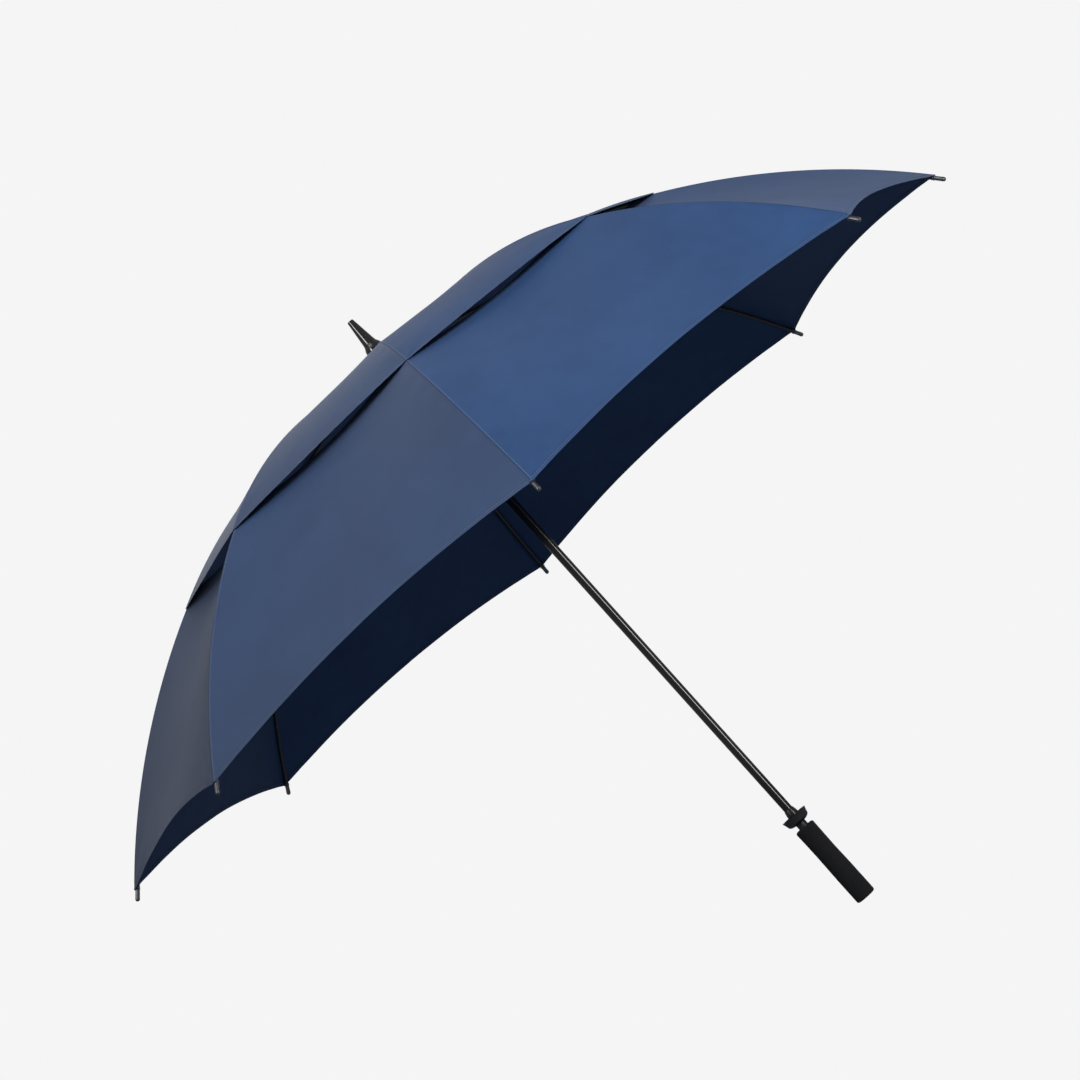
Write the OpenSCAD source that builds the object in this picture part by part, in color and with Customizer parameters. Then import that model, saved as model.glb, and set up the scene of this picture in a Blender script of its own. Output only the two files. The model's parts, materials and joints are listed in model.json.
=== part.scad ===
// Double-canopy golf umbrella with a manual runner, drawn open.
// +Z runs up the shaft. The origin is the centre of the grip.

/* [Canopy] */
// Height of the crown pivots above the centre of the grip
crown_height = 851; // [820:1:1100]
// Length along a rib from its crown pivot to the corner of the canopy
rib_length = 762; // [600:1:920]
// Length along a rib from its crown pivot to the stretcher joint
inner_rib = 370; // [300:1:450]
// Straight length of a rib next to the crown
rib_straight = 124; // [40:1:160]
// Bend radius of a rib between the straight length and the stretcher joint
inner_bend_r = 555; // [420:5:900]
// Bend radius of a rib outside the stretcher joint
outer_bend_r = 950; // [900:10:2500]
// Distance the upper canopy reaches past the stretcher joints
vent_overlap = 29; // [15:1:60]
// Height of the air gap at the middle of a panel
vent_gap = 13; // [6:1:25]
// Depth of the scallop in the rim between two ribs
rim_scallop = 24; // [0:1:40]
// How far the middle of a panel is drawn in by its tension
panel_sag = 12; // [0:1:25]
// Thickness of the cloth
cloth_t = 1; // [0.6:0.1:2]

/* [Ribs] */
// Diameter of a rib rod
rib_d = 4.6; // [3.5:0.1:6]
// Diameter of a stretcher rod
stretcher_d = 4; // [3:0.1:5]
// Distance of the stretcher joint's pin below the middle of the rib rod
joint_drop = 7; // [6.5:0.1:10]
// Thickness of the flat eyes and of the joint's tongue
eye_t = 2.4; // [1.6:0.1:2.8]
// Radius around the pins and eyes
eye_r = 2.3; // [2:0.1:2.4]
// Length of a rib tip past the canopy's corner
tip_out = 13; // [8:1:20]

/* [Shaft] */
// Outer diameter of the shaft
shaft_d = 12; // [10:0.5:14]
// Wall of the shaft tube
shaft_wall = 1.6; // [1:0.1:2.5]
// Height of the ferrule's tip above the crown pivots
ferrule_top = 75; // [62:1:95]
// Diameter of the foot of the ferrule
ferrule_foot_d = 28; // [26:0.5:32]
// Radius of the rings that the pivot wires follow
pivot_r = 11; // [10.8:0.1:14]
// Diameter of the pivot wires
wire_d = 1.6; // [1.2:0.1:2]

/* [Handle] */
// Diameter of the grip
grip_d = 28; // [26:0.5:36]
// Length of the grip
grip_length = 118; // [95:1:160]
// Radius of the grip's rounded ends
grip_edge_r = 3; // [2:0.5:7]
// Diameter of the rim of the tip cup
cup_rim_d = 37; // [33:0.5:44]
// Height of the tip cup
cup_height = 12.6; // [10:0.2:20]
// Height of the gap between the grip and the tip cup
neck_gap = 7; // [4:0.5:12]

/* [Runner] */
// Outer diameter of the runner's sleeve
runner_d = 25; // [25:0.5:30]
// Length of the runner below its pivots
runner_length = 34; // [30:1:36]
// Travel of the latch button
button_travel = 1.5; // [1:0.1:1.6]

/* [Hidden] */

$fn = 48;
eps = 0.01;
rib_count = 8;
pitch = 360 / rib_count;
half_pitch = pitch / 2;
navy = [0.11, 0.17, 0.30];

// running clearance between pieces that move on each other
play = 0.3;
// clearance of a pin or a wire in its eye
pin_play = 0.15;
// clearance between two layers of cloth, or cloth and a rod
cloth_gap = 0.3;

shaft_r = shaft_d / 2;
rib_rod_r = rib_d / 2;
wire_r = wire_d / 2;
wire_hole_r = wire_r + pin_play;
joint_pin_r = 1;

// the crown and the runner carry the same slotted ring
notch_r = pivot_r + 4;
notch_hub_r = pivot_r - eye_r - play;
notch_half = 5;
slot_w = eye_t + 2 * play;
slot_floor = eye_r + play;
hub_drop = 12;
cross_pin_r = 1.2;
crown_pin_z = -(hub_drop + notch_half) / 2;

// rib line in the plane of radius and height, with the crown pivot at height 0
joint_a = (inner_rib - rib_straight) / inner_bend_r * 180 / PI;
arc1_r = pivot_r + rib_straight;
arc2_r = arc1_r + (inner_bend_r - outer_bend_r) * sin(joint_a);
arc2_z = -inner_bend_r + (inner_bend_r - outer_bend_r) * cos(joint_a);

function rib_a(s) =
  s <= rib_straight ? 0
  : s <= inner_rib ? (s - rib_straight) / inner_bend_r * 180 / PI
  : joint_a + (s - inner_rib) / outer_bend_r * 180 / PI;
function rib_r(s) =
  s <= rib_straight ? pivot_r + s
  : s <= inner_rib ? arc1_r + inner_bend_r * sin(rib_a(s))
  : arc2_r + outer_bend_r * sin(rib_a(s));
function rib_z(s) =
  s <= rib_straight ? 0
  : s <= inner_rib ? -inner_bend_r + inner_bend_r * cos(rib_a(s))
  : arc2_z + outer_bend_r * cos(rib_a(s));

// the stretcher is as long as the line from the crown pivot to its joint,
// so the runner's pivots stay under the crown's at every angle of the fold
joint_r = rib_r(inner_rib) - joint_drop * sin(joint_a);
joint_z = rib_z(inner_rib) - joint_drop * cos(joint_a);
stretcher_len = norm([joint_r - pivot_r, joint_z]);
stretcher_a = atan2(-joint_z, joint_r - pivot_r);
runner_z = 2 * joint_z;

// joint fitting
ear_t = 1.2;
ear_gap = eye_t / 2 + play;
fork_len = 10;
fork_root = 5.5;
eye_len = 12;
socket_r = rib_rod_r + 1.1;
socket_start = 9;
socket_len = 17;
clip_r = rib_rod_r + 1.5;
clip_len = 14;
tongue_len = 8;
flex_gap = 0.5;
tip_r = rib_rod_r + 0.5;
tip_sleeve = 9;

// top of the stack over the crown
crown_lift = notch_half + cloth_gap;
washer_z = crown_lift + cloth_t + cloth_gap;
washer_t = 1.6;
ferrule_z = washer_z + washer_t;
main_lift = tip_r + cloth_gap;
vent_lift = max(main_lift + cloth_t + cloth_gap, clip_r + cloth_gap);

// ferrule: a cone over a bell-shaped foot, solid at its tip
ferrule_tip_r = 4.2;
ferrule_tip_solid = 27;
ferrule_cone = 35;
ferrule_edge = 1;
bell_low = [0.6, 3];
bell_high = [1.5, 19.5];
bell_neck = 5.2;

// latch and catch
catch_r = shaft_r + 1;
runner_bore_r = catch_r + play;
catch_top = 12;
catch_low = -20;
catch_pin_z = (notch_half + catch_top) / 2;
bush_drop = 5;
latch_z = -16;
yoke_t = 3;
hook = 0.7;
hook_play = 0.1;
yoke_hole_r = catch_r + play;
yoke_shift = yoke_hole_r - catch_r + hook;
yoke_relief = 0.8;
yoke_r = yoke_hole_r + 1.9;
chamber_r = yoke_r + button_travel + play;
leaf_t = 0.3;
leaf_play = 0.05;
leaf_edge = 0.2;
button_w = 8;
button_h = 8;
button_t = 3;
button_root = 1.5;
foot_flange = 2;
foot_flange_h = 3;

// handle stack
grip_top = grip_length / 2;
cup_z = grip_top + neck_gap;
core_r = shaft_r + 2;
neck_r = shaft_r + 1;
neck_root = 3;
cup_wall = 1.4;
cup_flare = 2.5;
cup_knee = 0.45;
collar_rise = 9;
collar_wall = 2;
collar_lip = 0.6;
collar_taper = 6;

// end plug: a cap over the core, a collar under the tube and a spigot in the tube
plug_cap = 3;
plug_collar = 5;
plug_spigot = 14;
plug_play = 0.05;
shaft_low = -grip_top + plug_cap + plug_collar;

module at_crown() translate([0, 0, crown_height]) children();
module at_runner() translate([0, 0, crown_height + runner_z]) children();
module at_rib(k) at_crown() rotate([0, 0, pitch * (k - 1)]) children();
module tube(outer_r, inner_r, low, high) {
  translate([0, 0, low])
    difference() {
      cylinder(r = outer_r, h = high - low);
      translate([0, 0, -1])
        cylinder(r = inner_r, h = high - low + 2);
    }
}
// cylinder along the local Y axis, centred
module cross_rod(r, len) {
  rotate([90, 0, 0])
    cylinder(r = r, h = len, center = true);
}
// bent rod about a centre in the rib's plane, from angle a0 to a1 off vertical
module bent_rod(bend_r, a0, a1, r) {
  rotate([90, 0, 0])
    rotate([0, 0, 90 - a1])
      rotate_extrude(angle = a1 - a0)
        translate([bend_r, 0])
          circle(r = r);
}
module inner_arc(s0, s1, r) {
  translate([arc1_r, 0, -inner_bend_r])
    bent_rod(inner_bend_r, rib_a(s0), rib_a(s1), r);
}
module outer_arc(s0, s1, r) {
  translate([arc2_r, 0, arc2_z])
    bent_rod(outer_bend_r, rib_a(s0), rib_a(s1), r);
}
// ring with a wire groove and radial slots from slot_low to slot_high
module slotted_ring(bore_r, slot_low, slot_high) {
  difference() {
    tube(notch_r, bore_r, -notch_half, notch_half);
    wire_ring(wire_r + eps);
    for (k = [0:rib_count - 1])
      rotate([0, 0, k * pitch])
        translate([notch_hub_r, -slot_w / 2, slot_low])
          cube([notch_r, slot_w, slot_high - slot_low]);
  }
}
module wire_ring(r) {
  rotate_extrude()
    translate([pivot_r, 0])
      circle(r = r, $fn = 24);
}

// shaft and what is fixed to it
module shaft_tube() {
  color("black")
    tube(shaft_r, shaft_r - shaft_wall, shaft_low, crown_height + ferrule_top - ferrule_tip_solid);
}
module ferrule() {
  foot_r = ferrule_foot_d / 2;
  color("black")
    at_crown()
      difference() {
        rotate_extrude()
          polygon([
            [0, ferrule_z], [foot_r, ferrule_z],
            [foot_r - bell_low[0], ferrule_z + bell_low[1]],
            [foot_r - bell_high[0], ferrule_z + bell_high[1]],
            [foot_r - bell_neck, ferrule_top - ferrule_cone],
            [ferrule_tip_r, ferrule_top - ferrule_edge],
            [ferrule_tip_r - ferrule_edge, ferrule_top], [0, ferrule_top]]);
        translate([0, 0, ferrule_z - 1])
          cylinder(r = shaft_r, h = ferrule_top - ferrule_tip_solid - ferrule_z + 1 + eps);
      }
}
module crown_washer() {
  color("dimgray")
    at_crown()
      tube(ferrule_foot_d / 2 - play, shaft_r, washer_z, washer_z + washer_t);
}
module crown_notch() {
  color("dimgray")
    at_crown()
      difference() {
        union() {
          slotted_ring(shaft_r, -notch_half - 1, slot_floor);
          tube(notch_hub_r, shaft_r, -hub_drop, -notch_half + eps);
        }
        translate([0, 0, crown_pin_z])
          cross_rod(cross_pin_r, 4 * notch_hub_r);
      }
}
module crown_wire() color("silver") at_crown() wire_ring(wire_r);
module crown_pin() {
  color("silver")
    at_crown()
      translate([0, 0, crown_pin_z])
        split_pin(notch_hub_r);
}
// pin pressed through one wall of the hub and the shaft, in two solids
module split_pin(reach) {
  for (side = [0, 1])
    rotate([0, 0, 180 * side])
      intersection() {
        cross_rod(cross_pin_r, 2 * reach);
        translate([-reach, shaft_r, -reach])
          cube(2 * reach);
      }
}
module top_catch() {
  color("silver")
    at_runner()
      difference() {
        union() {
          tube(catch_r, shaft_r, catch_low, catch_top);
          tube(notch_hub_r - play, shaft_r, notch_half + play, catch_top);
        }
        translate([0, 0, latch_z])
          tube(catch_r + 1, catch_r - hook - hook_play, -yoke_t / 2 - play, yoke_t / 2 + play);
        translate([0, 0, catch_pin_z])
          cross_rod(cross_pin_r, 4 * catch_r);
      }
}
module catch_pin() {
  color("silver")
    at_runner()
      translate([0, 0, catch_pin_z])
        split_pin(notch_hub_r - play);
}

// handle
module grip_core() {
  color("black")
    difference() {
      union() {
        cylinder(r = core_r, h = grip_length - 2 * plug_cap, center = true);
        tube(neck_r, shaft_r, grip_top - neck_root, cup_z);
      }
      translate([0, 0, -grip_top])
        cylinder(r = shaft_r, h = cup_z + grip_length);
    }
}
module grip() {
  grip_r = grip_d / 2;
  color("black")
    difference() {
      rotate_extrude()
        union() {
          translate([core_r, -grip_top])
            square([grip_r - grip_edge_r - core_r, grip_length]);
          translate([core_r, -grip_top + grip_edge_r])
            square([grip_r - core_r, grip_length - 2 * grip_edge_r]);
          for (side = [-1, 1])
            translate([grip_r - grip_edge_r, side * (grip_top - grip_edge_r)])
              circle(r = grip_edge_r);
        }
      cylinder(r = core_r, h = grip_length + 2, center = true);
    }
}
module end_plug() {
  color("black") {
    translate([0, 0, -grip_top])
      cylinder(r = core_r - plug_play, h = plug_cap);
    translate([0, 0, -grip_top + plug_cap - eps])
      cylinder(r = shaft_r - plug_play, h = plug_collar + eps);
    translate([0, 0, shaft_low - eps])
      cylinder(r = shaft_r - shaft_wall - plug_play, h = plug_spigot);
  }
}
module tip_cup() {
  rim_r = cup_rim_d / 2;
  base_r = rim_r - cup_flare;
  knee_z = cup_z + cup_height * cup_knee;
  rim_z = cup_z + cup_height;
  color("black")
    rotate_extrude()
      polygon([
        [shaft_r, cup_z], [base_r, cup_z], [base_r, knee_z],
        [rim_r, rim_z], [rim_r - cup_wall, rim_z], [base_r - cup_wall, knee_z],
        [base_r - cup_wall, cup_z + cup_wall], [shaft_r, cup_z + cup_wall]]);
}
module cup_collar() {
  low = cup_z + cup_wall;
  high = cup_z + cup_height + collar_rise;
  color("black")
    rotate_extrude()
      polygon([
        [shaft_r, low], [shaft_r + collar_wall, low],
        [shaft_r + collar_wall, high - collar_taper],
        [shaft_r + collar_lip, high], [shaft_r, high]]);
}

// runner and its latch, pointing between the first two ribs
module runner() {
  color("dimgray")
    at_runner()
      difference() {
        union() {
          slotted_ring(runner_bore_r, -slot_floor, notch_half + 1);
          tube(runner_d / 2, runner_bore_r, -runner_length, -notch_half + eps);
          tube(runner_d / 2 + foot_flange, runner_bore_r, -runner_length, -runner_length + foot_flange_h);
        }
        latch_chamber();
      }
}
module latch_chamber() {
  rotate([0, 0, half_pitch])
    translate([0, 0, latch_z - yoke_t / 2 - play]) {
      cylinder(r = chamber_r, h = yoke_t + 2 * play);
      translate([0, -yoke_r - play, 0])
        cube([runner_d, 2 * yoke_r + 2 * play, yoke_t + 2 * play]);
    }
}
module runner_wire() color("silver") at_runner() wire_ring(wire_r);
module runner_bush() {
  color("ivory")
    at_runner()
      tube(runner_bore_r, shaft_r + play, -runner_length, catch_low - bush_drop);
}
module latch_button() {
  face_r = runner_d / 2 - leaf_edge;
  head_r = runner_d / 2 + button_travel + play;
  color("silver")
    at_runner()
      rotate([0, 0, half_pitch])
        translate([0, 0, latch_z]) {
          difference() {
            union() {
              cylinder(r = yoke_r, h = yoke_t, center = true);
              intersection() {
                cylinder(r = face_r, h = yoke_t, center = true);
                translate([0, -yoke_r, -yoke_t])
                  cube([2 * face_r, 2 * yoke_r, 2 * yoke_t]);
              }
            }
            translate([yoke_shift, 0, 0])
              cylinder(r = yoke_hole_r, h = 2 * yoke_t, center = true);
            translate([yoke_shift + yoke_relief, 0, 0])
              cylinder(r = yoke_hole_r, h = 2 * yoke_t, center = true);
          }
          translate([face_r - button_root, -button_w / 2, -yoke_t / 2])
            cube([head_r - face_r + button_root + eps, button_w, yoke_t]);
          translate([head_r, 0, 0])
            rotate([0, 90, 0])
              cylinder(d = button_h, h = button_t);
        }
}
module latch_spring() {
  leaf_x = yoke_r + leaf_play;
  leaf_w = 0.9 * chamber_r;
  color("silver")
    at_runner()
      rotate([0, 0, half_pitch])
        translate([-leaf_x - leaf_t, -leaf_w / 2, latch_z - yoke_t / 2 + leaf_edge])
          cube([leaf_t, leaf_w, yoke_t - 2 * leaf_edge]);
}

// ribs and stretchers
module inner_rib(k) {
  color("black")
    at_rib(k) {
      difference() {
        union() {
          translate([pivot_r, 0, 0])
            cross_rod(eye_r, eye_t);
          translate([pivot_r, -eye_t / 2, -eye_r])
            cube([eye_len, eye_t, 2 * eye_r]);
        }
        translate([pivot_r, 0, 0])
          cross_rod(wire_hole_r, 2 * eye_t);
      }
      translate([pivot_r + socket_start, 0, 0])
        rotate([0, 90, 0])
          cylinder(r = socket_r, h = socket_len);
      translate([pivot_r + socket_start + 1, 0, 0])
        rotate([0, 90, 0])
          cylinder(r = rib_rod_r, h = rib_straight - socket_start);
      inner_arc(rib_straight, inner_rib - rib_rod_r - 2 * flex_gap, rib_rod_r - 2 * eps);
      inner_arc(inner_rib - clip_len - rib_rod_r, inner_rib - rib_rod_r - flex_gap, clip_r);
      joint_tongue();
    }
}
module joint_tongue() {
  translate([joint_r, 0, joint_z])
    rotate([0, joint_a, 0])
      difference() {
        union() {
          cross_rod(eye_r, eye_t);
          translate([-tongue_len, -eye_t / 2, 0])
            cube([tongue_len, eye_t, joint_drop - rib_rod_r - flex_gap]);
          translate([-tongue_len, -eye_t / 2, 0])
            cube([tongue_len - rib_rod_r - 1.5 * flex_gap, eye_t, joint_drop - rib_rod_r + 1]);
        }
        cross_rod(joint_pin_r + pin_play, 2 * eye_t);
      }
}
module outer_rib(k) {
  end = rib_length + tip_out;
  color("black")
    at_rib(k) {
      translate([rib_r(inner_rib), 0, rib_z(inner_rib)])
        sphere(r = rib_rod_r - 2 * eps);
      outer_arc(inner_rib, end - tip_r, rib_rod_r);
      outer_arc(rib_length - tip_sleeve, end - tip_r, tip_r);
      translate([rib_r(end - tip_r), 0, rib_z(end - tip_r)])
        sphere(r = tip_r - 2 * eps);
    }
}
module stretcher(k) {
  ear_x = stretcher_len;
  color("black")
    at_rib(k)
      translate([pivot_r, 0, runner_z])
        rotate([0, -stretcher_a, 0]) {
          difference() {
            union() {
              cross_rod(eye_r, eye_t);
              translate([0, -eye_t / 2, -eye_r])
                cube([eye_len, eye_t, 2 * eye_r]);
            }
            cross_rod(wire_hole_r, 2 * eye_t);
          }
          translate([socket_start, 0, 0])
            rotate([0, 90, 0])
              cylinder(d = stretcher_d, h = ear_x - socket_start - fork_len + 1);
          translate([ear_x - fork_len, -ear_gap - ear_t, -eye_r])
            cube([fork_len - fork_root, 2 * (ear_gap + ear_t), 2 * eye_r]);
          for (side = [-1, 1])
            translate([ear_x, side * (ear_gap + ear_t / 2), 0]) {
              cross_rod(eye_r, ear_t);
              translate([-fork_root - 1, -ear_t / 2, -eye_r])
                cube([fork_root + 1, ear_t, 2 * eye_r]);
            }
          translate([ear_x, 0, 0])
            cross_rod(joint_pin_r, 2 * (ear_gap + ear_t) + 0.6);
        }
}

// cloth: s runs along the rib, t across the gore from -1 to 1 with the rib at 0.
// Between two ribs the cloth follows the straight chord, less the scallop and the sag.
bow = [0, 0.3, 0.62, 1];
across = concat([for (i = [len(bow) - 1:-1:1]) -bow[i]], bow);
function dip(t) = 1 - (1 - abs(t)) * (1 - abs(t));
function side_t(s, t) = t * (1 - cloth_gap / rib_r(s));
function cloth_point(s, t, scallop, sag, lift) =
  let (u = side_t(s, t), q = s - scallop * dip(u), r = rib_r(q), a = rib_a(q))
  let (drop = lift - sag * dip(u), w = half_pitch * u)
  [ r * (1 - abs(u) * sin(half_pitch) * sin(half_pitch))
      + drop * sin(a) * cos(w),
    r * u * sin(half_pitch) * cos(half_pitch) + drop * sin(a) * sin(w),
    rib_z(q) + drop * cos(a) ];
// closed sheet over rows of stations [s, scallop, sag, lift]
module cloth_sheet(rows) {
  n = len(across);
  m = len(rows);
  layer = n * m;
  points = [
    for (top = [0, 1])
      for (row = rows)
        for (t = across)
          cloth_point(row[0], t, row[1], row[2], row[3] + top * cloth_t)];
  skin = [
    for (top = [0, 1])
      for (i = [0:m - 2])
        for (j = [0:n - 2])
          let (p = top * layer + i * n + j)
          for (face = [[p, p + 1, p + n], [p + 1, p + n + 1, p + n]])
            top == 1 ? face : [face[2], face[1], face[0]]];
  long_edges = [
    for (i = [0:m - 2])
      for (j = [0, n - 1])
        let (p = i * n + j, q = p + n)
        for (face = [[p, q, p + layer], [q, q + layer, p + layer]])
          j > 0 ? face : [face[2], face[1], face[0]]];
  end_edges = [
    for (i = [0, m - 1])
      for (j = [0:n - 2])
        let (p = i * n + j, q = p + 1)
        for (face = [[p, p + layer, q], [q, p + layer, q + layer]])
          i > 0 ? face : [face[2], face[1], face[0]]];
  polyhedron(points = points, faces = concat(skin, long_edges, end_edges));
}
vent_rows = 12;
vent_inner = shaft_r + 0.5 - pivot_r;
vent_outer = inner_rib + vent_overlap;
vent_scallop = 6;
vent_sag = 0.1 * panel_sag;
// the upper canopy is flat out to crown_flat, then comes down to the ribs
crown_flat = 8;
crown_slope = 40;
function ramp(x) = x < 0 ? 0 : x > 1 ? 1 : x;
module vent_canopy(k) {
  color(navy)
    at_rib(k)
      cloth_sheet([
        for (i = [0:vent_rows])
          let (f = i / vent_rows)
          let (s = i == 1 ? crown_flat : vent_inner + (vent_outer - vent_inner) * f)
          let (g = ramp((s - crown_flat) / (vent_outer - crown_flat)))
          [s, vent_scallop * g * g, vent_sag * 4 * g * (1 - g),
           crown_lift + (vent_lift - crown_lift) * ramp((s - crown_flat) / crown_slope)]]);
}
main_rows = 12;
module main_canopy(k) {
  color(navy)
    at_rib(k)
      cloth_sheet([
        for (i = [0:main_rows])
          let (f = i / main_rows)
          [inner_rib + (rib_length - inner_rib) * f, rim_scallop * f * f,
           (vent_gap + cloth_t) * (1 - f) + panel_sag * 4 * f * (1 - f), main_lift]]);
}

shaft_tube();
ferrule();
crown_washer();
crown_notch();
crown_wire();
crown_pin();
top_catch();
catch_pin();
tip_cup();
cup_collar();
grip_core();
grip();
end_plug();
runner();
runner_wire();
runner_bush();
latch_button();
latch_spring();
for (k = [1:rib_count]) {
  inner_rib(k);
  outer_rib(k);
  stretcher(k);
  vent_canopy(k);
  main_canopy(k);
}
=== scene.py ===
import json
import math

import bpy
import numpy as np
from mathutils import Matrix, Vector, noise


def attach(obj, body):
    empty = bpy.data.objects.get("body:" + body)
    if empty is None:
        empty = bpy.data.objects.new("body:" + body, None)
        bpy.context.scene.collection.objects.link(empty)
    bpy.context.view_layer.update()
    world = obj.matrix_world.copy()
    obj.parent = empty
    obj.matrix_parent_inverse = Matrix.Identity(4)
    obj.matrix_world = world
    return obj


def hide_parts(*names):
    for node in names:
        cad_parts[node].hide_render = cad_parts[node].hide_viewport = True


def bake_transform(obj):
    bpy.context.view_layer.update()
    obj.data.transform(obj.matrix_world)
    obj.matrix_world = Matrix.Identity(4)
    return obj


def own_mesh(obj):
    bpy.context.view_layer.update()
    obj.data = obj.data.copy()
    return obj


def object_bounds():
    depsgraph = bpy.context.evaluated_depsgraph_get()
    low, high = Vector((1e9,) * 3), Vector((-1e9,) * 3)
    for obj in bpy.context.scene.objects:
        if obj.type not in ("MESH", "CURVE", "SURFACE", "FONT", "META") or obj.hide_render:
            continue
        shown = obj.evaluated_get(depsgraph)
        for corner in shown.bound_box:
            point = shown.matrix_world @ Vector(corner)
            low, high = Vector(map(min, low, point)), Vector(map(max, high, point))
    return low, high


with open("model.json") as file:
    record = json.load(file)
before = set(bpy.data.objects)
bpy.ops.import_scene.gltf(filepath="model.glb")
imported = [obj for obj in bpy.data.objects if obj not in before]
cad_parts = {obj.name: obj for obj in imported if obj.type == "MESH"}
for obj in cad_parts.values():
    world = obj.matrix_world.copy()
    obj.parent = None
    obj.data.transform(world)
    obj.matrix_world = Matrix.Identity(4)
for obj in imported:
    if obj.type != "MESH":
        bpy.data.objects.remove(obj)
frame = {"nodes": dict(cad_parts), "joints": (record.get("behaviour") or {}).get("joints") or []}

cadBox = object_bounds()
nodes = frame["nodes"]
jointOf = {j["name"]: j for j in frame["joints"]}
print("frame loaded:", len(nodes), "CAD nodes")

# camera and studio

view = {
    "eye": (-0.19463, -4.35541, 0.28721),
    "lookAt": (-0.00605, 0.00026, 0.55362),
    "up": (0.66562, -0.07424, 0.74259),  # the umbrella leans to the left
    "lens": 114.125,
}
studio = {
    "paper": 0.913,  # brightness of the pale backdrop
    "ambient": 0.26,
    "floorDrop": 0.30,
    "floorReach": 14.0,
    "centre": (0, 0, 0.62),  # what the lights face
    "floorBounce": (0.30, 0.33, 0.37),
}


class Shade:
    def __init__(self, tree, socket=None):
        self.tree = tree
        self.socket = socket

    def node(self, kind, settings=None, inputs=None, out=0):
        made = self.tree.nodes.new("ShaderNode" + kind)
        for name, value in (settings or {}).items():
            setattr(made, name, value)
        for name, value in (inputs or {}).items():
            if isinstance(value, Shade):
                self.tree.links.new(value.socket, made.inputs[name])
            else:
                made.inputs[name].default_value = value
        return Shade(self.tree, made.outputs[out])

    def maths(self, operation, *values):
        return self.node("Math", {"operation": operation}, dict(enumerate(values)))

    def __add__(self, other):
        return self.maths("ADD", self, other)

    def __sub__(self, other):
        return self.maths("SUBTRACT", self, other)

    def __rsub__(self, other):
        return self.maths("SUBTRACT", other, self)

    def __mul__(self, other):
        return self.maths("MULTIPLY", self, other)

    def __truediv__(self, other):
        return self.maths("DIVIDE", self, other)

    def __rtruediv__(self, other):
        return self.maths("DIVIDE", other, self)

    def __lt__(self, other):
        return self.maths("LESS_THAN", self, other)

    def __abs__(self):
        return self.maths("ABSOLUTE", self)

    __radd__ = __add__
    __rmul__ = __mul__

    def sine(self):
        return self.maths("SINE", self)

    def wrapped(self, length):
        return self.maths("FRACT", self / length)

    def band(self, middle, half, soft):
        # 1 on a line at middle, falling to 0 over soft
        away = abs(self - middle)
        return self.node("MapRange", {"interpolation_type": "SMOOTHSTEP"},
                         {0: away, 1: half, 2: half + soft, 3: 1.0, 4: 0.0})

    def stretched(self, low, high, toLow=0.0, toHigh=1.0):
        return self.node("MapRange", {}, {0: self, 1: low, 2: high, 3: toLow, 4: toHigh})

    def scaled(self, factors):
        return self.node("VectorMath", {"operation": "MULTIPLY"}, {0: self, 1: factors})

    def grain(self, scale, detail=2.0, rough=0.5, warp=0.0):
        return self.node("TexNoise", {}, {"Vector": self, "Scale": scale, "Detail": detail,
                                          "Roughness": rough, "Distortion": warp}, "Fac")

    def parts(self):
        split = self.node("SeparateXYZ", {}, {0: self})
        outputs = split.socket.node.outputs
        return [Shade(self.tree, outputs[i]) for i in range(3)]

    def tint(self, low, high):
        # colour between low and high by this value
        return self.node("Mix", {"data_type": "RGBA"},
                         {0: self, 6: colour4(low), 7: colour4(high)}, 2)


def colour4(value):
    if isinstance(value, Shade):
        return value
    return (*value, 1.0) if len(value) == 3 else value


def newMaterial(name, constants):
    material = bpy.data.materials.new(name)
    material.use_nodes = True
    tree = material.node_tree
    shader = tree.nodes["Principled BSDF"]
    for socket, value in constants.items():
        shader.inputs[socket].default_value = value
    return material, Shade(tree), shader


def placeMesh(name, mesh):
    obj = bpy.data.objects.new(name, mesh)
    bpy.context.scene.collection.objects.link(obj)
    return obj


def frameFrom(*columns):
    # a matrix from its three axes and its place
    made = Matrix.Identity(4)
    for column, axis in enumerate(columns):
        for row in range(3):
            made[row][column] = axis[row]
    return made


def feed(tree, shader, links):
    for socket, value in links.items():
        tree.links.new(value.socket, shader.inputs[socket])


def relief(shade, height, strength, distance):
    return shade.node("Bump", {}, {"Height": height, "Strength": strength, "Distance": distance}, "Normal")


# finishes

clothLook = {
    "deep": (0.0075, 0.030, 0.093),
    "light": (0.0150, 0.050, 0.140),
    # the thread's colour; the painted highlight along hem edges and seam lips is tinted towards it too
    "thread": (0.070, 0.120, 0.230),
    # painted shade: the dark colour put into the hem's fold line, the seam's middle and the sunk stitch line
    "fold": (0.0015, 0.005, 0.018),
    "roughness": 0.56,
    "weavePitch": 0.0011,
    "hemStitch": 0.0054,  # how far the stitches are from the hem's edge
    "hemWidth": 0.0068,
    "stitch": 0.0034,
    "seamStitch": 0.0019,
}


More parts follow.
